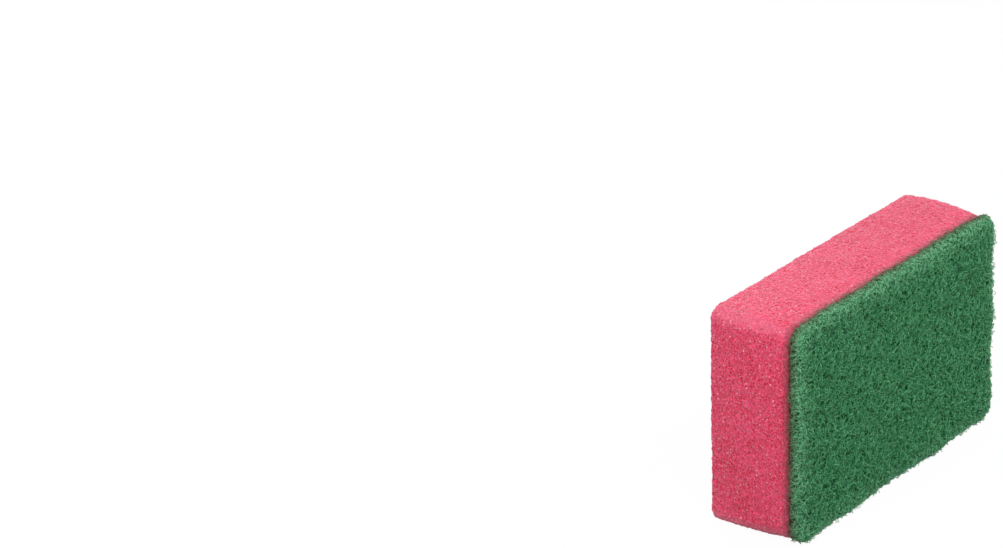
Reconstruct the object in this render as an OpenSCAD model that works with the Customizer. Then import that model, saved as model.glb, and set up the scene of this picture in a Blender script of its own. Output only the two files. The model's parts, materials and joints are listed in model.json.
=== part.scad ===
// Two-layer cleaning sponge: a block of soft foam with a scouring pad laminated to one broad face.
// It stands on one long side, with the pad facing +X, its length along Y and its height along Z.
// Both layers are cut together by one die, so they share an outline with rounded corners. The
// cut draws them in to a shallow groove where they are bonded, and towards its free face the
// soft foam springs back to a tighter corner than the stiff pad keeps.

/* [Block] */
// Length of the sponge along its long side
sponge_l = 93; // [70:1:150]
// Height of the sponge as it stands on its long side
sponge_h = 60; // [45:1:90]
// Radius of the four corners of the outline, on the pad and at the seam
corner_r = 5.5; // [2.5:0.5:10]

/* [Foam] */
// Thickness of the foam block
foam_t = 24; // [15:0.5:45]
// Radius of the outline's corners at the foam's free face
foam_corner_r = 3; // [1.5:0.25:10]
// How far the foam's free sides crown outwards between its two faces
foam_crown = 0.6; // [0:0.1:1.5]
// Rounding where the free face turns into the sides
foam_edge_r = 0.8; // [0.4:0.1:3]

/* [Scouring pad] */
// Thickness of the scouring pad
pad_t = 3.5; // [3:0.25:10]
// Rounding where the scouring face turns into the sides
pad_edge_r = 2.5; // [1:0.25:4]

/* [Seam] */
// Depth of the groove that runs round the sponge between the two layers
seam_depth = 0.3; // [0.2:0.1:1.5]
// Distance from the seam over which each layer draws in to the groove
seam_run = 0.7; // [0.5:0.1:2]

/* [Smoothness] */
// Flats along each rounded corner of the outline
corner_steps = 8; // [4:1:12]
// Flats across each rounding and each side of the groove
edge_steps = 5; // [3:1:8]
// Flats across the crowned side of the foam
crown_steps = 6; // [2:2:12]

/* [Hidden] */

foam_colour = "#e5587a";
pad_colour = "#3f7d55";

total_t = foam_t + pad_t;
free_face_x = -total_t / 2;
seam_x = free_face_x + foam_t;

// The pad's rounding stops where its side begins to draw in to the groove
pad_round = min(pad_edge_r, pad_t - seam_run);
// A corner that has been drawn in keeps at least this radius
least_corner_r = 0.3;

// Drop of a quarter circle of radius r, at a distance d inside the face that it rounds
function rounding(r, d) = d >= r ? 0 : r - sqrt(r * r - (r - d) * (r - d));

// Drop of the groove's wall, at a distance d from the seam
function groove(d) = d >= seam_run ? 0 : seam_depth * pow(1 - d / seam_run, 2);

// Drop of the crowned side, at a distance d from the foam's free face
function crown(d) = foam_crown * pow(2 * d / foam_t - 1, 2);

// Distances from a face that divide a rounding of radius r into flats of equal angle
function rounding_stations(r) = [for (i = [0 : edge_steps - 1]) r * (1 - cos(90 * i / edge_steps))];

// Distances from the seam that divide one side of the groove
function groove_stations() = [for (i = [0 : edge_steps - 1]) seam_run * i / edge_steps];

// One corner of the outline as an arc: centre of the arc, its radius and its first angle
function arc(y, z, r, start) =
    [for (i = [0 : corner_steps]) let (a = start + 90 * i / corner_steps) [y + r * cos(a), z + r * sin(a)]];

// The outline at x with this corner radius, drawn in by side at its top and ends and by base underneath
function outline(x, radius, side, base) =
    let (
        r = max(radius - side, least_corner_r),
        end_y = sponge_l / 2 - side - r,
        top_z = sponge_h - side - r,
        low_z = base + r
    )
    [for (p = concat(
        arc(end_y, top_z, r, 0),
        arc(-end_y, top_z, r, 90),
        arc(-end_y, low_z, r, 180),
        arc(end_y, low_z, r, 270)
    )) [x, p[0], p[1]]];

// A closed solid through a row of outlines that runs along +X
module skin(outlines) {
    n = len(outlines[0]);
    last = len(outlines) - 1;
    polyhedron(
        points = [for (ring = outlines) each ring],
        faces = concat(
            [[for (j = [0 : n - 1]) j]],
            [for (i = [0 : last - 1], j = [0 : n - 1])
                [i * n + j, (i + 1) * n + j, (i + 1) * n + (j + 1) % n, i * n + (j + 1) % n]],
            [[for (j = [n - 1 : -1 : 0]) last * n + j]]
        )
    );
}

// The soft foam: rounded at its free face, crowned at its top and ends, flat where it stands
module foam_block() {
    crown_from = foam_edge_r;
    crown_to = foam_t - seam_run;
    stations = concat(
        rounding_stations(foam_edge_r),
        [for (i = [0 : crown_steps]) crown_from + (crown_to - crown_from) * i / crown_steps],
        [for (i = [edge_steps - 1 : -1 : 0]) foam_t - groove_stations()[i]]
    );
    color(foam_colour)
        skin([for (d = stations)
            let (
                drop = rounding(foam_edge_r, d) + groove(foam_t - d),
                radius = foam_corner_r + (corner_r - foam_corner_r) * d / foam_t
            )
            outline(free_face_x + d, radius, drop + crown(d), drop)]);
}

// The scouring pad: drawn in to the groove at the seam and well rounded at its scouring face
module scouring_pad() {
    stations = concat(
        groove_stations(),
        [seam_run],
        [for (i = [edge_steps - 1 : -1 : 0]) pad_t - rounding_stations(pad_round)[i]]
    );
    color(pad_colour)
        skin([for (d = stations)
            let (drop = rounding(pad_round, pad_t - d) + groove(d))
            outline(seam_x + d, corner_r, drop, drop)]);
}

foam_block();
scouring_pad();
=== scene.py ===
# %% [markdown]
# # A cleaning sponge: soft foam with a scouring pad
#
# The real thing has two layers. A block of pink polyurethane foam does the wiping, and a thin mat
# of green nylon fibre, stuck to one broad face, does the scouring. Both are cut from a laminated
# sheet by one die, so they share an outline with rounded corners.
#
# The CAD model already holds both layers at their real size, as plain closed solids. This script
# dresses them: it makes foam with open cells and a mat of real, separate fibres, and puts them
# exactly where the solids stand. Everything is in metres, and `mm` turns millimetres into metres.

# %% Load the frame
import json
import math

import bpy
import numpy as np
from mathutils import Matrix, Vector, noise

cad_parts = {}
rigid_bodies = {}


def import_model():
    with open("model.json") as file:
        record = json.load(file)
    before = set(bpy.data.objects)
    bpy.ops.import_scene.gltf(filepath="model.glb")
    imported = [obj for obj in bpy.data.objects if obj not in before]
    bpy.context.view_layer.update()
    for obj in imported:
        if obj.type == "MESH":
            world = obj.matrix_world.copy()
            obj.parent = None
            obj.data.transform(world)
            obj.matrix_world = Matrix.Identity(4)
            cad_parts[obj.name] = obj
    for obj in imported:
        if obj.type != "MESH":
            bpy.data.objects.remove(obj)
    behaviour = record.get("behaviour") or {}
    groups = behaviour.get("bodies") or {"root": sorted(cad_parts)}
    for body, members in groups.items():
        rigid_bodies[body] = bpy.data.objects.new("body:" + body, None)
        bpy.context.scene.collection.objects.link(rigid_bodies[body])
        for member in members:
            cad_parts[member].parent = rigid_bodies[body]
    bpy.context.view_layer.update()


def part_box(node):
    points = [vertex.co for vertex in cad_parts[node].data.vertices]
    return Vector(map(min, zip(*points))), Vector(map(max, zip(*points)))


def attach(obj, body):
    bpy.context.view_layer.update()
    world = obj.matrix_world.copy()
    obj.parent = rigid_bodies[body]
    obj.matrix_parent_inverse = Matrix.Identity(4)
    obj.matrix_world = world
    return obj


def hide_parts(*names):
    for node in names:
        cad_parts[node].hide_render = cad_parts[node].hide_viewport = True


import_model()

mm = 0.001

# %% [markdown]
# ## Measures
#
# The pieces take their size and place from the solids' boxes, so they follow the CAD model if it
# changes. Only the small shapes that a box doesn't tell are written here again: the die's corner,
# the rounded edges, the crown of the foam's sides, and the groove where the layers meet.

# %% Measures of the two layers
foam_low, foam_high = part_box("foam_block")
pad_low, pad_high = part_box("scouring_pad")
length = foam_high.y - foam_low.y
height = foam_high.z - foam_low.z
seam_x = pad_low.x
face_x = pad_high.x

corner_r = 5.5 * mm
foam_corner_r = 3.0 * mm
foam_edge_r = 0.8 * mm
foam_crown = 0.6 * mm
pad_edge_r = 2.5 * mm
seam_depth = 0.3 * mm
seam_run = 0.7 * mm
print("length %.1f, height %.1f, seam at x = %.2f mm" % (length / mm, height / mm, seam_x / mm))

# %% [markdown]
# ## Camera
#
# A camera is placed first, because it says how much detail the pieces need. The sponge is seen from
# above one end with a long lens, so its edges converge only a little. Turn, drop and tilt are the
# three angles that a photographer would set on a tripod head.

# %% Camera at the photograph's viewing angle
camera_place = Vector((473.0, -729.0, 438.7)) * mm
camera_turn = math.radians(38.97)
camera_drop = math.radians(23.73)
camera_tilt = math.radians(-1.92)
film_width_mm = 36
lens_mm = 132.8
image_width = 1003

bpy.ops.object.camera_add(location=camera_place)
camera = bpy.context.object
camera.name = "studio_camera"
camera.data.sensor_width = film_width_mm
camera.data.lens = lens_mm
head = (
    Matrix.Rotation(camera_turn, 3, "Z")
    @ Matrix.Rotation(math.pi / 2 - camera_drop, 3, "X")
    @ Matrix.Rotation(camera_tilt, 3, "Z")
)
camera.rotation_euler = head.to_euler()
bpy.context.scene.camera = camera
pixels_per_mm = lens_mm / film_width_mm * image_width / camera_place.length * mm
print("about %.1f pixels a millimetre" % pixels_per_mm)

# %% [markdown]
# ## Helpers
#
# Blender's operators act on whatever is selected, so one helper deselects everything and picks one
# object. Another adds a shader node with its options and its inputs: an input is given a number, a
# colour, or the output of another node, which is then linked. Colours are written as they look on
# screen and turned into the linear light that shaders work in.

# %% Helpers for selecting, modifying and shading
def pick(piece):
    """Makes this object the only selected one."""
    bpy.ops.object.select_all(action="DESELECT")
    piece.select_set(True)
    bpy.context.view_layer.objects.active = piece


def modify(piece, kind, **settings):
    """Adds a modifier with these settings and applies it to the mesh."""
    pick(piece)
    modifier = piece.modifiers.new(kind.lower(), kind)
    for name, value in settings.items():
        setattr(modifier, name, value)
    bpy.ops.object.modifier_apply(modifier=modifier.name)


def select_vertices(piece, chosen):
    """Selects the vertices that the array of booleans names, in object mode."""
    pick(piece)
    mesh = piece.data
    for part in (mesh.vertices, mesh.edges, mesh.polygons):
        part.foreach_set("select", np.zeros(len(part), bool))
    mesh.vertices.foreach_set("select", chosen)
    mesh.update()


def places(piece):
    """The mesh's vertices as an array of x, y and z."""
    values = np.empty(len(piece.data.vertices) * 3)
    piece.data.vertices.foreach_get("co", values)
    return values.reshape(-1, 3)


def add_node(tree, kind, inputs=None, **options):
    """Adds a shader node. inputs maps a socket's name or number to a value or to another socket."""
    made = tree.nodes.new(kind)
    for name, value in options.items():
        setattr(made, name, value)
    for socket, value in (inputs or {}).items():
        if isinstance(value, bpy.types.NodeSocket):
            tree.links.new(value, made.inputs[socket])
        else:
            made.inputs[socket].default_value = value
    return made


def linear(hex_colour):
    """Turns an sRGB colour such as #E5587A into linear red, green, blue and alpha."""
    channels = [int(hex_colour[i : i + 2], 16) / 255 for i in (1, 3, 5)]
    return [c / 12.92 if c <= 0.04045 else ((c + 0.055) / 1.055) ** 2.4 for c in channels] + [1.0]


def new_material(name):
    """A material with an empty node tree, and that tree."""
    material = bpy.data.materials.new(name)
    material.use_nodes = True
    material.node_tree.nodes.clear()
    return material, material.node_tree


print("the pink #E5587A in linear light:", [round(c, 3) for c in linear("#E5587A")])

# %% [markdown]
# ## Studio
#
# The floor and sky of a product shot are pure white, yet the sponge must not be flooded with light.
# Light Path tells a shader which kind of ray asks for it. Rays from the camera, and rays that come
# off gloss or through glass, see white. Soft light instead comes from a dimmer sky and from a pale
# grey floor, which throws less of it up at the scouring face. A small share of the floor that
# the camera sees is a real matt surface, and that share carries the sponge's shadow.

# %% World and floor
def seen_directly(tree):
    """1 for rays from the camera, from gloss or through glass, and 0 for soft light."""
    path = add_node(tree, "ShaderNodeLightPath")
    gloss = add_node(
        tree, "ShaderNodeMath", {0: path.outputs["Is Camera Ray"], 1: path.outputs["Is Glossy Ray"]},
        operation="MAXIMUM",
    )
    seen = add_node(
        tree, "ShaderNodeMath", {0: gloss.outputs[0], 1: path.outputs["Is Transmission Ray"]},
        operation="MAXIMUM",
    )
    return seen.outputs[0]


sky_light = 0.33
white_share = 0.96
floor_size = 6.0
floor_grey = "#B0B0B0"
pure_white = linear("#FFFFFF")

world = bpy.data.worlds.new("studio_sky")
bpy.context.scene.world = world
world.use_nodes = True
sky = world.node_tree
sky.nodes.clear()
soft = add_node(sky, "ShaderNodeBackground", {"Color": pure_white, "Strength": sky_light})
white = add_node(sky, "ShaderNodeBackground", {"Color": pure_white, "Strength": 1.0})
both = add_node(
    sky, "ShaderNodeMixShader", {0: seen_directly(sky), 1: soft.outputs[0], 2: white.outputs[0]}
)
add_node(sky, "ShaderNodeOutputWorld", {"Surface": both.outputs[0]})

bpy.ops.object.select_all(action="DESELECT")
bpy.ops.mesh.primitive_plane_add(size=floor_size, location=(0, 0, 0))
floor = bpy.context.object
floor.name = "studio_floor"
paper, tree = new_material("white_paper_sweep")
matt = add_node(tree, "ShaderNodeBsdfDiffuse", {"Color": pure_white})
glow = add_node(tree, "ShaderNodeEmission", {"Color": pure_white, "Strength": 1.0})
shown = add_node(
    tree, "ShaderNodeMixShader", {0: white_share, 1: matt.outputs[0], 2: glow.outputs[0]}
)
dim = add_node(tree, "ShaderNodeBsdfDiffuse", {"Color": linear(floor_grey)})
mixed = add_node(
    tree, "ShaderNodeMixShader", {0: seen_directly(tree), 1: dim.outputs[0], 2: shown.outputs[0]}
)
add_node(tree, "ShaderNodeOutputMaterial", {"Surface": mixed.outputs[0]})
floor.data.materials.append(paper)
print("floor", floor_size, "m wide, of which", white_share, "shows as plain white; sky light", sky_light)

# %% [markdown]
# Three softboxes shape the sponge. The key light stands high in front of the near end, and lights
# its upper part the most. A side light stands by the far end of the scouring face, so that this face
# grows a little darker towards the near end and the floor. A low lamp behind rakes over the top,
# where it brings out the grain of the foam, and it lights the foam's broad back face for
# whoever walks round the sponge.

# %% Lamps
def softbox(name, place, size, watts):
    """A square soft lamp that looks at the middle of the sponge."""
    bpy.ops.object.light_add(type="AREA", location=place)
    lamp = bpy.context.object
    lamp.name = name
    lamp.data.shape = "SQUARE"
    lamp.data.size = size
    lamp.data.energy = watts
    lamp.rotation_euler = (Vector(place) - Vector((0, 0, height / 2))).to_track_quat("Z", "Y").to_euler()


# Each lamp's name, its place and size in metres, and its power in watts.
lamps = [
    ("key_softbox", (0.07, -0.27, 0.30), 0.28, 1.12),
    ("side_softbox", (0.22, 0.22, 0.24), 0.20, 0.70),
    ("back_softbox", (-0.46, 0.22, 0.20), 0.28, 1.3),
]
for name, place, size, watts in lamps:
    softbox(name, place, size, watts)
    print(name, watts, "W")

bpy.context.scene.view_settings.view_transform = "Standard"

# %% [markdown]
# ## The shape that both layers share
#
# Each layer is drawn as two outlines, one on either face: a plane whose four corners are bevelled to
# the die's radius. Bridging the two loops gives the layer its sides, and where the radii differ, the
# corner changes evenly from one to the other. Then the layer is sliced across with bisect, once for
# each distance where its outline changes. When all slices are cut, the ring at each one is
# selected by its place and drawn in with resize. The rings near a face make its rounded edge,
# those in the middle make the crown, and those by the seam make the groove. Resizing about the
# standing line keeps the underside flat.

# %% A die-cut layer, sliced and drawn in
corner_flats = 12
same_slice = 0.01 * mm


def round_in(radius, depth):
    """How far a quarter circle has dropped at this depth inside the face that it rounds."""
    flat = max(radius - max(depth, 0), 0)
    return radius - math.sqrt(radius**2 - flat**2)


def groove_in(depth):
    """How far the side has drawn in at this distance from the seam."""
    return 0.0 if depth >= seam_run else seam_depth * (1 - depth / seam_run) ** 2


def add_outline(x, radius):
    """In edit mode, adds a plane at x that faces along X, and bevels its corners."""
    bpy.ops.mesh.select_all(action="DESELECT")
    middle = (x, 0, height / 2)
    bpy.ops.mesh.primitive_plane_add(size=1, location=middle, rotation=(0, math.pi / 2, 0))
    bpy.ops.transform.resize(value=(1, length, height), center_override=middle)
    bpy.ops.mesh.bevel(offset=radius, segments=corner_flats, profile=0.5, affect="VERTICES")


def slice_layer(name, low, high, slices):
    """A layer between two outlines, each an x and a corner radius. slices gives the x of each slice,
    and how far it draws in at the sides and at the base."""
    bpy.ops.object.select_all(action="DESELECT")
    bpy.ops.mesh.primitive_plane_add(size=1, location=(0, 0, 0))
    layer = bpy.context.object
    layer.name = name
    bpy.ops.object.mode_set(mode="EDIT")
    bpy.ops.mesh.delete(type="VERT")
    add_outline(*low)
    add_outline(*high)
    bpy.ops.mesh.select_all(action="SELECT")
    bpy.ops.mesh.bridge_edge_loops()
    bpy.ops.mesh.select_all(action="SELECT")
    bpy.ops.mesh.fill_holes(sides=0)

    for x, _, _ in slices:
        if low[0] < x < high[0]:
            bpy.ops.mesh.select_all(action="SELECT")
            bpy.ops.mesh.bisect(plane_co=(x, 0, 0), plane_no=(1, 0, 0))
    for x, side, base in slices:
        bpy.ops.object.mode_set(mode="OBJECT")
        select_vertices(layer, np.abs(places(layer)[:, 0] - x) < same_slice)
        bpy.ops.object.mode_set(mode="EDIT")
        shrink_y = 1 - 2 * side / length
        shrink_z = 1 - (side + base) / height
        if shrink_z < 1:
            bpy.ops.transform.resize(
                value=(1, shrink_y, shrink_z), center_override=(x, 0, base / (1 - shrink_z))
            )
    bpy.ops.mesh.select_all(action="SELECT")
    bpy.ops.mesh.normals_make_consistent(inside=False)
    bpy.ops.object.mode_set(mode="OBJECT")
    return layer


def spread(first, last, count):
    """Evenly spread numbers from first to last, both of them included."""
    return [first + (last - first) * i / (count - 1) for i in range(count)]


print("the groove is %.2f mm deep at the seam" % (groove_in(0) / mm))

# %% [markdown]
# ## Foam block
#
# Polyurethane foam is cut from a big bun, so each face shows open cells, a third of a millimetre to
# a millimetre wide, and no moulded skin. The sides bulge a little between the two broad faces. To
# carry such cells the mesh needs an even grid, which the voxel remesh gives. The face that is stuck
# to the pad is never seen, so its grid is dissolved into one face.

# %% Foam: body
foam_t = seam_x - foam_low.x
foam_edge_rings, crown_rings, foam_groove_rings = 7, 9, 6
foam_depths = (
    [foam_edge_r * (1 - math.cos(math.radians(a))) for a in spread(0, 90, foam_edge_rings)]
    + spread(foam_edge_r, foam_t - seam_run, crown_rings)[1:]
    + spread(foam_t - seam_run, foam_t, foam_groove_rings)[1:]
)
foam_slices = []
for depth in foam_depths:
    edge = round_in(foam_edge_r, depth) + groove_in(foam_t - depth)
    bulge = foam_crown * (2 * depth / foam_t - 1) ** 2
    foam_slices.append((foam_low.x + depth, edge + bulge, edge))

foam = slice_layer("foam_body", (foam_low.x, foam_corner_r), (seam_x, corner_r), foam_slices)
foam_grid = 0.38 * mm
modify(foam, "REMESH", mode="VOXEL", voxel_size=foam_grid)

at_seam = 0.05 * mm
select_vertices(foam, places(foam)[:, 0] > seam_x - at_seam)
bpy.ops.object.mode_set(mode="EDIT")
bpy.ops.mesh.dissolve_faces()
bpy.ops.object.mode_set(mode="OBJECT")
print("foam body:", len(foam.data.polygons), "faces", len(foam.data.vertices), "points")

# %% [markdown]
# The cells come from the Displace modifier. It moves each point along its normal by a procedural
# texture: first gentle waves, which a soft block always has, then the cells, which mostly sink in.
# A vertex group holds the stuck face and its rim still, so the block stays closed and flat there.
# Last, whatever came to lie below the worktop is scaled flat onto it, for the foam is soft and the
# sponge rests on it.

# %% Foam: waves and cells
def relief(piece, name, size, strength, middle, group):
    """Displaces the mesh by clouds of this size. A tone of middle stays put, and darker ones sink in."""
    texture = bpy.data.textures.new(name, "CLOUDS")
    texture.noise_scale = size
    texture.noise_depth = 1
    modify(
        piece, "DISPLACE", texture=texture, texture_coords="LOCAL", direction="NORMAL",
        strength=strength, mid_level=middle, vertex_group=group,
    )


def weigh(piece, name, weights):
    """A vertex group that gives each point its own weight from 0 to 1."""
    group = piece.vertex_groups.new(name=name)
    for index, weight in enumerate(weights):
        group.add([index], weight, "REPLACE")
    return name


def off_seam(points, fade):
    """0 on the seam plane, and 1 from this distance onwards."""
    return np.clip(np.abs(points[:, 0] - seam_x) / fade, 0, 1)


foam_fade = 0.45 * mm
wave_size, wave_height, wave_middle = 14 * mm, 0.35 * mm, 0.5
pit_size, pit_depth, pit_middle = 0.9 * mm, 0.62 * mm, 0.65
foam_skin = weigh(foam, "free_skin", off_seam(places(foam), foam_fade))
relief(foam, "foam_waves", wave_size, wave_height, wave_middle, foam_skin)
relief(foam, "foam_cells", pit_size, pit_depth, pit_middle, foam_skin)

select_vertices(foam, places(foam)[:, 2] < 0)
bpy.ops.object.mode_set(mode="EDIT")
bpy.ops.transform.resize(value=(1, 1, 0), center_override=(0, 0, 0))
bpy.ops.object.mode_set(mode="OBJECT")
bpy.ops.object.shade_smooth()
print("foam after relief:", [round(v / mm, 2) for v in places(foam).min(0)],
      [round(v / mm, 2) for v in places(foam).max(0)])

# %% [markdown]
# ### Pink open-cell foam
#
# The foam is dyed polyurethane, blown and then sliced. Light sinks a millimetre or two into it, so it
# looks soft and its shadows are filled with pink. Its cut cell walls are thin, glassy films round open
# mouths. The colour paints the walls paler, as a highlight, and the mouths darker, as shade, and a few
# pale specks are painted glints. Seen along the surface, the many fine edges make it paler, which is
# what sheen does. Along the seam a ragged brownish line is painted shade in the groove where the
# layers meet.
#
# The colour is mixed in layers, each on top of the one before: grain with painted shade in the cell
# mouths, blotches, a painted highlight on the rounded corners, painted glints and painted shade along
# the seam. The grain comes first. Voronoi's distance to the nearest edge draws the walls between
# cells of almost a millimetre, and a finer noise breaks them up.

# %% Foam: grain, with painted shade and highlight on the cells
foam_material, tree = new_material("pink_polyurethane_foam")
space = add_node(tree, "ShaderNodeTexCoord").outputs["Object"]

cell_size = 0.85 * mm
grain_size = 0.55 * mm

cells = add_node(
    tree, "ShaderNodeTexVoronoi", {"Vector": space, "Scale": 1 / cell_size}, feature="DISTANCE_TO_EDGE"
)
walls = add_node(
    tree, "ShaderNodeMapRange",
    {"Value": cells.outputs["Distance"], "From Min": 0.02, "From Max": 0.20, "To Min": 1.0, "To Max": 0.0},
)
grain = add_node(tree, "ShaderNodeTexNoise", {"Vector": space, "Scale": 1 / grain_size, "Detail": 1.0})
grain_level = add_node(
    tree, "ShaderNodeMapRange", {"Value": grain.outputs["Fac"], "From Min": 0.45, "From Max": 0.61}
)
weave = add_node(
    tree, "ShaderNodeMix", {0: 0.6, 2: walls.outputs[0], 3: grain_level.outputs[0]}, data_type="FLOAT"
)
# Painted shade and highlight: the cell mouths darken the tint and the walls pale it.
grain_and_cell_shade_tint = add_node(
    tree, "ShaderNodeMix", {0: weave.outputs[0], 6: linear("#D00838"), 7: linear("#FF608A")},
    data_type="RGBA",
)
print("foam cells %.2f mm, grain %.2f mm" % (cell_size / mm, grain_size / mm))

# %% [markdown]
# Two slower changes lie over the grain. The colour drifts a little, in blotches some millimetres wide.
# And the rounded corners of the outline are paler: a painted highlight, where they turn towards the light.
# Object coordinates tell how far a point stands from the ends and from the long sides, and a
# corner is where both distances are small.

# %% Distances from the outline
def from_outline(tree, split):
    """How far a point stands outside the ends, and outside the long sides. Inside, both are below 0."""
    across_y = add_node(tree, "ShaderNodeMath", {0: split.outputs["Y"]}, operation="ABSOLUTE")
    from_end = add_node(
        tree, "ShaderNodeMath", {0: across_y.outputs[0], 1: length / 2}, operation="SUBTRACT"
    )
    raised_z = add_node(
        tree, "ShaderNodeMath", {0: split.outputs["Z"], 1: height / 2}, operation="SUBTRACT"
    )
    across_z = add_node(tree, "ShaderNodeMath", {0: raised_z.outputs[0]}, operation="ABSOLUTE")
    from_side = add_node(
        tree, "ShaderNodeMath", {0: across_z.outputs[0], 1: height / 2}, operation="SUBTRACT"
    )
    return from_end.outputs[0], from_side.outputs[0]


# %% Foam: blotches and a painted highlight on the rounded corners
blotch_size = 8 * mm
corner_highlight_starts, corner_highlight_full = -4.5 * mm, -1.5 * mm

blotches = add_node(tree, "ShaderNodeTexNoise", {"Vector": space, "Scale": 1 / blotch_size, "Detail": 2.0})
blotch_level = add_node(
    tree, "ShaderNodeMapRange",
    {"Value": blotches.outputs["Fac"], "From Min": 0.35, "From Max": 0.7, "To Min": 0.0, "To Max": 0.3},
)
blotch_tint = add_node(
    tree, "ShaderNodeMix", {0: blotch_level.outputs[0], 6: grain_and_cell_shade_tint.outputs[2], 7: linear("#FF5A84")},
    data_type="RGBA",
)

split = add_node(tree, "ShaderNodeSeparateXYZ", {0: space})
from_end, from_side = from_outline(tree, split)
in_corner = add_node(tree, "ShaderNodeMath", {0: from_end, 1: from_side}, operation="MINIMUM")
# Painted highlight: the rounded corners are mixed towards a pale pink, as if they caught more light.
corner_highlight_level = add_node(
    tree, "ShaderNodeMapRange",
    {
        "Value": in_corner.outputs[0],
        "From Min": corner_highlight_starts, "From Max": corner_highlight_full, "To Min": 0.0, "To Max": 0.27,
    },
    interpolation_type="SMOOTHSTEP",
)
corner_highlight_tint = add_node(
    tree, "ShaderNodeMix", {0: corner_highlight_level.outputs[0], 6: blotch_tint.outputs[2], 7: linear("#FF9CB4")},
    data_type="RGBA",
)
print("corners grow paler from %.1f mm inside the outline" % (-corner_highlight_starts / mm))

# %% [markdown]
# A painted glint is a small pale spot round the middle of a Voronoi cell. Each cell also has a random
# colour of its own, and only a cell with much red in it gets its glint. The brownish painted shade
# along the seam is a ramp along X. A noise of up to a few millimetres is added to X before the ramp,
# and so its border is ragged.

# %% Foam: painted glints and painted shade along the seam
glint_size = 1.0 * mm
glint_above = 0.75
seam_shade_grain, seam_shade_fray = 1.3 * mm, 2.6 * mm
seam_shade_starts, seam_shade_full = seam_x - 1.1 * mm, seam_x + 1.4 * mm

glints = add_node(tree, "ShaderNodeTexVoronoi", {"Vector": space, "Scale": 1 / glint_size})
glint_spot = add_node(
    tree, "ShaderNodeMapRange",
    {"Value": glints.outputs["Distance"], "From Min": 0.12, "From Max": 0.30, "To Min": 0.7, "To Max": 0.0},
)
glint_luck = add_node(tree, "ShaderNodeSeparateColor", {0: glints.outputs["Color"]})
glint_some = add_node(
    tree, "ShaderNodeMath", {0: glint_luck.outputs[0], 1: glint_above}, operation="GREATER_THAN"
)
glint = add_node(
    tree, "ShaderNodeMath", {0: glint_spot.outputs[0], 1: glint_some.outputs[0]}, operation="MULTIPLY"
)
# Painted highlight: glints lighten the colour towards a pale pink.
painted_glint_tint = add_node(
    tree, "ShaderNodeMix", {0: glint.outputs[0], 6: corner_highlight_tint.outputs[2], 7: linear("#FFC0CC")},
    data_type="RGBA",
)

ragged = add_node(tree, "ShaderNodeTexNoise", {"Vector": space, "Scale": 1 / seam_shade_grain, "Detail": 2.0})
ragged_x = add_node(
    tree, "ShaderNodeMath",
    {0: ragged.outputs["Fac"], 1: seam_shade_fray, 2: split.outputs["X"]}, operation="MULTIPLY_ADD",
)
seam_shade = add_node(
    tree, "ShaderNodeMapRange",
    {
        "Value": ragged_x.outputs[0],
        "From Min": seam_shade_starts, "From Max": seam_shade_full, "To Min": 0.0, "To Max": 0.9,
    },
)
# Painted shade: the groove at the seam is darkened towards a brown.
foam_tint = add_node(
    tree, "ShaderNodeMix", {0: seam_shade.outputs[0], 6: painted_glint_tint.outputs[2], 7: linear("#643430")},
    data_type="RGBA",
)
print("one cell in", round(1 / (1 - glint_above)), "glints")

# %% [markdown]
# The finest relief is bump: the raised cell walls, and over them the same noise that tints the grain.
# Polyurethane's index of refraction is about 1.5, and it is set a little lower to hold the gloss down,
# because the cut surface is rough. Under it red light travels farther than green and blue do, so
# the foam glows red from inside.

# %% Foam: bump and shader
wall_bump, grain_bump = 0.18 * mm, 0.45 * mm
light_depth = 0.8 * mm

cell_bump = add_node(
    tree, "ShaderNodeBump", {"Height": walls.outputs[0], "Strength": 0.8, "Distance": wall_bump}
)
fine_bump = add_node(
    tree, "ShaderNodeBump",
    {
        "Height": grain.outputs["Fac"], "Strength": 0.9, "Distance": grain_bump,
        "Normal": cell_bump.outputs[0],
    },
)
shader = add_node(
    tree, "ShaderNodeBsdfPrincipled",
    {
        "Base Color": foam_tint.outputs[2],
        "Roughness": 0.65,
        "IOR": 1.45,
        "Specular IOR Level": 0.32,
        "Subsurface Weight": 0.12,
        "Subsurface Radius": (1.0, 0.35, 0.4),
        "Subsurface Scale": light_depth,
        "Sheen Weight": 0.29,
        "Sheen Roughness": 0.4,
        "Normal": fine_bump.outputs[0],
    },
)
add_node(tree, "ShaderNodeOutputMaterial", {"Surface": shader.outputs[0]})
foam.data.materials.append(foam_material)

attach(foam, "root")
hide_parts("foam_block")
print("foam material:", len(tree.nodes), "nodes")

# %% [markdown]
# ## Scouring pad: the felted core
#
# A scouring pad is a web of crimped nylon fibres, laid at random and bonded where they cross. The web
# is never quite even: it swells and sinks over a few millimetres. Deep in it the fibres are so many
# and so shaded that the eye sees only a dark ground. That ground is one mesh: the same die-cut layer,
# sunk in by some eight tenths of a millimetre under the fibres, and it swells and sinks just as they
# do. Its dark green is painted shade.
# How far each point sinks is its weight in a vertex group, which the Displace modifier obeys.

# %% Pad: how the mat swells and sinks
swell_size = 8 * mm
swell = 0.75 * mm
lump_size = 1.4 * mm
lump = 0.30 * mm


def lumps(points):
    """How far the mat swells or sinks at each point."""
    wide = [noise.noise(Vector(p) / swell_size) for p in points]
    fine = [noise.noise(Vector(p) / lump_size) for p in points]
    return swell * np.array(wide) + lump * np.array(fine)


print("the mat swells and sinks by up to %.2f mm" % ((swell + lump) / mm))

# %% Pad: core
pad_t = face_x - seam_x
pad_groove_rings, pad_edge_rings = 5, 8
pad_depths = spread(0, seam_run, pad_groove_rings) + [
    pad_t - pad_edge_r * (1 - math.cos(math.radians(a))) for a in spread(90, 0, pad_edge_rings)
]
pad_slices = []
for depth in pad_depths:
    edge = round_in(pad_edge_r, pad_t - depth) + groove_in(depth)
    pad_slices.append((seam_x + depth, edge, edge))

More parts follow.
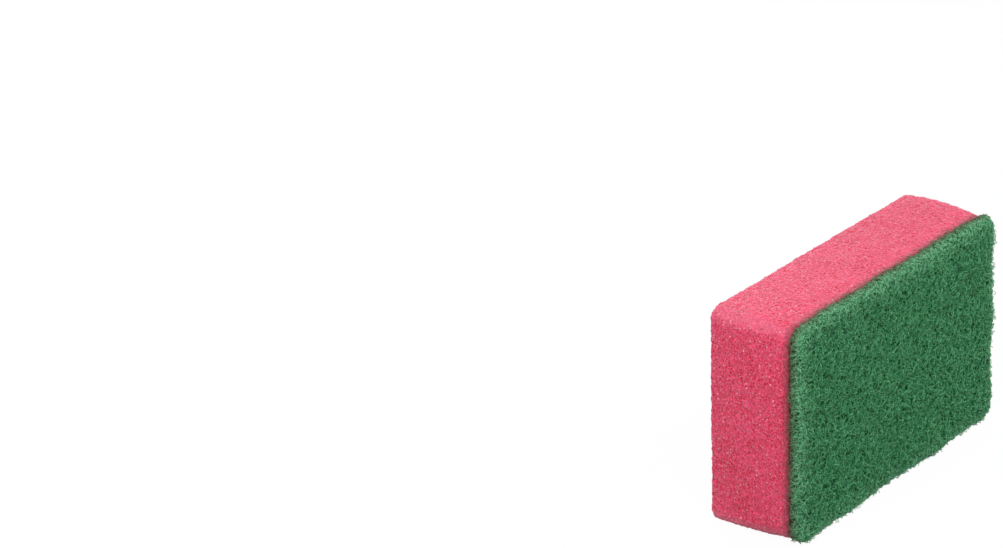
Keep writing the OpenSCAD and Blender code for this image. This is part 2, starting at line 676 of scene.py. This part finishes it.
core = slice_layer("pad_core", (seam_x, corner_r), (face_x, corner_r), pad_slices)
core_grid = 0.6 * mm
modify(core, "REMESH", mode="VOXEL", voxel_size=core_grid)

select_vertices(core, places(core)[:, 0] < seam_x + at_seam)
bpy.ops.object.mode_set(mode="EDIT")
bpy.ops.mesh.dissolve_faces()
bpy.ops.object.mode_set(mode="OBJECT")

core_depth = 0.80 * mm
core_fade = 0.8 * mm
deepest = core_depth + swell + lump
at = places(core)
drop = (core_depth - lumps(at)) * off_seam(at, core_fade)
sunk = weigh(core, "sunk", drop / deepest)
modify(core, "DISPLACE", direction="NORMAL", strength=-deepest, mid_level=0.0, vertex_group=sunk)
bpy.ops.object.shade_smooth()
print("pad core:", len(core.data.polygons), "faces")

# %% [markdown]
# ### Painted shade at the seam and a painted highlight round the rim
#
# The pad's colour isn't one green. Next to the seam it is darkened towards a brown, which is painted
# shade in the groove where the layers meet. Round its outline it is paler, which is a painted
# highlight where the rounded rim catches the light. Object coordinates give a point's distance from
# the seam, and its distance from the outline is the larger of how far it stands from the ends and
# from the long sides. A noise that is added to both distances frays the borders of the two bands,
# and a finer noise tears the pale one into tufts.

# %% Pad: painted shade at the seam and a painted highlight on the rim
fray_grain, tuft_grain = 1.5 * mm, 0.7 * mm
rim_fray, pad_seam_shade_fray = 2.0 * mm, 1.2 * mm
rim_starts, rim_full = -5.2 * mm, 0.4 * mm
pad_seam_shade_full, pad_seam_shade_ends = seam_x + 1.0 * mm, seam_x + 3.3 * mm


def seam_shade_and_rim_highlight(tree, space, tint, pad_seam_shade_colour, rim_highlight_colour):
    """Darkens a tint to a brown near the seam as painted shade, and pales it round the outline as a painted
    highlight.
    """
    fray = add_node(tree, "ShaderNodeTexNoise", {"Vector": space, "Scale": 1 / fray_grain, "Detail": 1.0})
    tuft_noise = add_node(tree, "ShaderNodeTexNoise", {"Vector": space, "Scale": 1 / tuft_grain, "Detail": 1.0})
    split = add_node(tree, "ShaderNodeSeparateXYZ", {0: space})
    from_end, from_side = from_outline(tree, split)
    nearer = add_node(tree, "ShaderNodeMath", {0: from_end, 1: from_side}, operation="MAXIMUM")
    frayed_rim = add_node(
        tree, "ShaderNodeMath",
        {0: fray.outputs["Fac"], 1: rim_fray, 2: nearer.outputs[0]}, operation="MULTIPLY_ADD",
    )
    near_rim = add_node(
        tree, "ShaderNodeMapRange",
        {"Value": frayed_rim.outputs[0], "From Min": rim_starts, "From Max": rim_full},
    )
    tufts = add_node(
        tree, "ShaderNodeMapRange",
        {"Value": tuft_noise.outputs["Fac"], "From Min": 0.44, "From Max": 0.60, "To Min": 0.04, "To Max": 0.72},
    )
    # Painted highlight: round the outline the tint is mixed towards a pale green.
    rim = add_node(
        tree, "ShaderNodeMath", {0: near_rim.outputs[0], 1: tufts.outputs[0]}, operation="MULTIPLY"
    )
    rim_highlighted = add_node(
        tree, "ShaderNodeMix", {0: rim.outputs[0], 6: tint, 7: linear(rim_highlight_colour)}, data_type="RGBA"
    )
    frayed_seam = add_node(
        tree, "ShaderNodeMath",
        {0: fray.outputs["Fac"], 1: pad_seam_shade_fray, 2: split.outputs["X"]}, operation="MULTIPLY_ADD",
    )
    # Painted shade: near the seam the tint is mixed towards a dark brown.
    pad_seam_shade = add_node(
        tree, "ShaderNodeMapRange",
        {
            "Value": frayed_seam.outputs[0],
            "From Min": pad_seam_shade_full, "From Max": pad_seam_shade_ends, "To Min": 0.9, "To Max": 0.0,
        },
    )
    pad_seam_shaded = add_node(
        tree, "ShaderNodeMix", {0: pad_seam_shade.outputs[0], 6: rim_highlighted.outputs[2], 7: linear(pad_seam_shade_colour)},
        data_type="RGBA",
    )
    return pad_seam_shaded.outputs[2]


# %% [markdown]
# The felted core is nylon too, but so deep and shaded that it is nearly matt, and its dark greens are
# painted shade. A Voronoi pattern draws the strands that cross in it, a little paler than the dark
# gaps between them, where the painted shade is deepest.

# %% Pad: core material
core_material, tree = new_material("felted_nylon_in_painted_shade")
space = add_node(tree, "ShaderNodeTexCoord").outputs["Object"]
mesh_size = 0.45 * mm
strand_bump = 0.3 * mm
gaps = add_node(
    tree, "ShaderNodeTexVoronoi", {"Vector": space, "Scale": 1 / mesh_size}, feature="DISTANCE_TO_EDGE"
)
strands = add_node(
    tree, "ShaderNodeMapRange",
    {"Value": gaps.outputs["Distance"], "From Min": 0.02, "From Max": 0.20, "To Min": 1.0, "To Max": 0.0},
)
# Painted shade: the deep core is coloured dark green, darkest in the gaps.
core_shaded_tint = add_node(
    tree, "ShaderNodeMix", {0: strands.outputs[0], 6: linear("#0A3A1C"), 7: linear("#2E7C4E")},
    data_type="RGBA",
)
core_bump = add_node(
    tree, "ShaderNodeBump", {"Height": strands.outputs[0], "Strength": 1.0, "Distance": strand_bump}
)
shader = add_node(
    tree, "ShaderNodeBsdfPrincipled",
    {
        "Base Color": seam_shade_and_rim_highlight(tree, space, core_shaded_tint.outputs[2], "#3A3024", "#4C9A6C"),
        "Roughness": 0.9,
        "IOR": 1.53,
        "Specular IOR Level": 0.2,
        "Normal": core_bump.outputs[0],
    },
)
add_node(tree, "ShaderNodeOutputMaterial", {"Surface": shader.outputs[0]})
core.data.materials.append(core_material)

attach(core, "root")
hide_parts("scouring_pad")
print("core material:", len(tree.nodes), "nodes, strands every %.2f mm" % (mesh_size / mm))

# %% [markdown]
# ## Scouring pad: the fibres
#
# The fibres on top are what the eye reads as a scouring pad, so they are real geometry. Each one is a
# walk over the pad's rounded surface. It sets off in a random direction, turns left and right as a
# crimped fibre does, and rises and dips as it passes over and under others. After every step it is
# pulled back to the surface, so it also wraps round the edges. The starts are spread by a sequence
# that fills a rectangle evenly and leaves no bare patch, as the machine that lays the web does.
#
# The surface is known as a formula: the distance of a point from a rounded slab, and the
# direction straight out of it. All fibres take their steps together, as one array.

# %% Pad: the surface that the fibres follow
tiny = 1e-9


def pad_skin(points):
    """Each point's distance from the pad's rounded surface, and the direction straight out of it."""
    y, z = points[:, 1], points[:, 2] - height / 2
    in_y = np.abs(y) - (length / 2 - corner_r)
    in_z = np.abs(z) - (height / 2 - corner_r)
    past_y, past_z = np.maximum(in_y, 0), np.maximum(in_z, 0)
    past = np.hypot(past_y, past_z)
    cornered = past > tiny
    safe = np.where(cornered, past, 1)
    toward_y = np.where(cornered, past_y / safe, in_y > in_z) * np.sign(y)
    toward_z = np.where(cornered, past_z / safe, in_y <= in_z) * np.sign(z)
    drawn = seam_depth * np.maximum(1 - (points[:, 0] - seam_x) / seam_run, 0) ** 2
    side = past + np.minimum(np.maximum(in_y, in_z), 0) - corner_r + drawn

    over_side = np.maximum(side + pad_edge_r, 0)
    over_face = np.maximum(points[:, 0] - face_x + pad_edge_r, 0)
    over = np.hypot(over_side, over_face)
    over_safe = np.maximum(over, tiny)
    out = np.stack([over_face, over_side * toward_y, over_side * toward_z], 1) / over_safe[:, None]
    out[over < tiny] = (1, 0, 0)
    return over - pad_edge_r, out


away, out = pad_skin(np.array([[face_x, 0, height / 2]]))
print("the middle of the scouring face is %.2f mm off the surface and faces" % (away[0] / mm), out[0])

# %% [markdown]
# The walk needs a few numbers that can be seen on the real pad: how long the visible stretches of
# fibre are, how thick they are, how tightly they curl, and how far apart the layers lie. Real fibres
# are about a tenth of a millimetre thick. These are twice that, because finer ones wouldn't show
# in this picture. Some fibres carry a loop or an end that stands clear of the mat. There are up to
# twice as many of them at the rim, and those make it ragged.

# %% Pad: measures of the fibres
stride = 0.40 * mm
strides = 7
fibre_r = 0.095 * mm
sink = 0.28 * mm

# A fibre turns by its own curl in radians a stride, and by a crimp that comes and goes at its own pace.
curl_spread = 0.16
crimp_range = (0.5, 1.3)
pace_range = (0.8, 1.9)

# It dips under others and rises over them, and a loose one stands up by this many millimetres
# over this share of its length.
dip = 0.16 * mm
dip_pace = 0.9
loose_mm = (0.15, 0.7)
loose_share_of_length = 0.22
rim_gain = 0.2

# The mat's torn border stands this far from the seam, and wanders.
border_gap = 0.15 * mm
border_wander, wander_size = 0.9 * mm, 5 * mm

# Steps of these two sizes, with whole numbers dropped, fill a rectangle evenly.
plastic_number = 1.3247180
even_steps = (1 / plastic_number, 1 / plastic_number**2)
print("fibres %.1f mm long and %.2f mm thick" % (stride * strides / mm, 2 * fibre_r / mm))

# %% Pad: walking the fibres
def ragged_seam(points):
    """How near the seam the mat's torn border comes at each point."""
    wander = np.array([noise.noise(Vector(p) / wander_size) for p in points])
    return seam_x + border_gap + border_wander * wander


def walk_fibres(count, seed, loose_share, depth):
    """The points of count fibres, as an array of fibre by stride by x, y and z."""
    rng = np.random.default_rng(seed)
    reach = pad_t
    even = (np.outer(np.arange(count), even_steps) + rng.random(2)) % 1
    across = (2 * even - 1) * (length / 2 + reach, height / 2 + reach)
    past = np.maximum(np.abs(across) - (length / 2, height / 2), 0).sum(1)
    at = np.stack([
        face_x - np.minimum(past, 0.95 * pad_t),
        np.clip(across[:, 0], -length / 2, length / 2),
        np.clip(across[:, 1], -height / 2, height / 2) + height / 2,
    ], 1)
    heading = rng.normal(size=(count, 3))
    curl = rng.normal(0, curl_spread, count)
    crimp = rng.uniform(*crimp_range, count)
    pace = rng.uniform(*pace_range, count)
    phase = rng.uniform(0, 2 * math.pi, (count, 2))
    outside = np.maximum(np.abs(at[:, 1]) - length / 2, np.abs(at[:, 2] - height / 2) - height / 2)
    rim = np.clip(1 + outside / pad_edge_r, 0, 1)
    loose = rng.random(count) < loose_share * (1 + rim)
    lift = np.where(loose, rng.uniform(*loose_mm, count) * (1 + rim_gain * rim), 0) * mm
    top = rng.uniform(0, 1, count)

    path = np.empty((count, strides + 1, 3))
    for k in range(strides + 1):
        for _ in range(2):
            away, out = pad_skin(at)
            raised = lumps(at) - sink - depth + dip * np.sin(phase[:, 1] + dip_pace * k)
            raised += lift * np.exp(-((k / strides - top) / loose_share_of_length) ** 2)
            at = at + out * (raised - away)[:, None]
            border = ragged_seam(at)
            at[:, 0] = np.maximum(at[:, 0], border)
            at[:, 2] = np.maximum(at[:, 2], fibre_r)
        path[:, k] = at
        turn = curl + crimp * np.sin(phase[:, 0] + pace * k)
        heading -= out * (heading * out).sum(1)[:, None]
        heading /= np.linalg.norm(heading, axis=1)[:, None]
        heading = heading * np.cos(turn)[:, None] + np.cross(out, heading) * np.sin(turn)[:, None]
        at = at + heading * stride
        back = at[:, 0] < border
        heading[back, 0] = np.abs(heading[back, 0])
    return path


# %% [markdown]
# A curve object turns a walk into a fibre: every path is one spline, and a small triangle swept
# along it gives it a body. Three sides are enough for a strand that is less than a pixel wide, and
# they keep thousands of them light. The ends are capped and thinner than the middle.

# %% Pad: giving the fibres a body
taper_at = (0, 0.12, 0.88, 1)
taper = (0.55, 1, 1, 0.55)


def fibre_web(name, paths, radius):
    """A mesh of thin closed tubes along the paths."""
    bpy.ops.object.select_all(action="DESELECT")
    bpy.ops.curve.primitive_bezier_circle_add()
    section = bpy.context.object
    section.data.splines.clear()
    triangle = section.data.splines.new("POLY")
    triangle.points.add(2)
    for corner, point in enumerate(triangle.points):
        angle = math.radians(90 + 120 * corner)
        point.co = (radius * math.cos(angle), radius * math.sin(angle), 0, 1)
    triangle.use_cyclic_u = True

    bpy.ops.object.select_all(action="DESELECT")
    bpy.ops.curve.primitive_bezier_curve_add()
    web = bpy.context.object
    web.name = name
    curve = web.data
    curve.splines.clear()
    thickness = np.interp(np.linspace(0, 1, paths.shape[1]), taper_at, taper)
    for path in paths:
        strand = curve.splines.new("POLY")
        strand.points.add(len(path) - 1)
        strand.points.foreach_set("co", np.column_stack([path, np.ones(len(path))]).ravel())
        strand.points.foreach_set("radius", thickness)
    curve.dimensions = "3D"
    curve.bevel_mode = "OBJECT"
    curve.bevel_object = section
    curve.use_fill_caps = True
    pick(web)
    bpy.ops.object.transform_apply(location=True, rotation=True, scale=True)
    bpy.ops.object.convert(target="MESH")
    bpy.ops.object.shade_smooth()
    bpy.data.objects.remove(section)
    return web


# %% [markdown]
# ### Green abrasive-coated nylon
#
# The fibres are nylon, sprayed with a green resin that carries fine abrasive grit. Resin and grit
# make them matt with a faint waxy shine, and the coat is uneven, so one fibre is paler than the
# next. The grains are a few hundredths of a millimetre, too fine for this picture, so they are drawn
# coarser, as a tone that drifts over a third of a millimetre. Four webs share one recipe with
# their own greens, and the deeper a web lies, the darker its greens: painted shade.

# %% Pad: the fibres' material
grit_size = 0.35 * mm


def resin_coat(name, dark, light):
    """A matt green whose tone drifts along the fibres."""
    material, tree = new_material(name)
    space = add_node(tree, "ShaderNodeTexCoord").outputs["Object"]
    drift = add_node(tree, "ShaderNodeTexNoise", {"Vector": space, "Scale": 1 / grit_size, "Detail": 2.0})
    level = add_node(
        tree, "ShaderNodeMapRange", {"Value": drift.outputs["Fac"], "From Min": 0.38, "From Max": 0.62}
    )
    tint = add_node(
        tree, "ShaderNodeMix", {0: level.outputs[0], 6: linear(dark), 7: linear(light)}, data_type="RGBA"
    )
    shader = add_node(
        tree, "ShaderNodeBsdfPrincipled",
        {
            "Base Color": seam_shade_and_rim_highlight(tree, space, tint.outputs[2], "#62553F", "#96DAAC"),
            "Roughness": 0.6,
            "IOR": 1.53,
            "Specular IOR Level": 0.25,
            "Sheen Weight": 0.06,
        },
    )
    add_node(tree, "ShaderNodeOutputMaterial", {"Surface": shader.outputs[0]})
    return material


# %% [markdown]
# The fibres come as four webs, one over another. The deepest lies flat, and the topmost has the most
# loose fibres. A fibre of seven strides has 44 triangles, so 4,400 of them keep a web under 200,000.

# %% Pad: four webs
# Each web's name, its seed, its share of loose fibres, its depth, and its darker and lighter green.
# The deeper webs' darker greens are painted shade.
webs = [
    ("web_deep", 11, 0.00, 0.34 * mm, "#165F32", "#42A267"),
    ("web_lower", 22, 0.04, 0.20 * mm, "#1A6D3A", "#4EAF76"),
    ("web_upper", 33, 0.14, 0.08 * mm, "#207842", "#5DBA80"),
    ("web_top", 44, 0.36, -0.04 * mm, "#26844A", "#7CD198"),
]
fibres_per_web = 4400

for name, seed, loose_share, depth, dark, light in webs:
    web = fibre_web(name, walk_fibres(fibres_per_web, seed, loose_share, depth), fibre_r)
    web.data.materials.append(resin_coat("green_resin_on_" + name, dark, light))
    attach(web, "root")
    faces = len(web.data.polygons)
    web.data.calc_loop_triangles()
    print(name, faces, "faces", len(web.data.loop_triangles), "triangles")
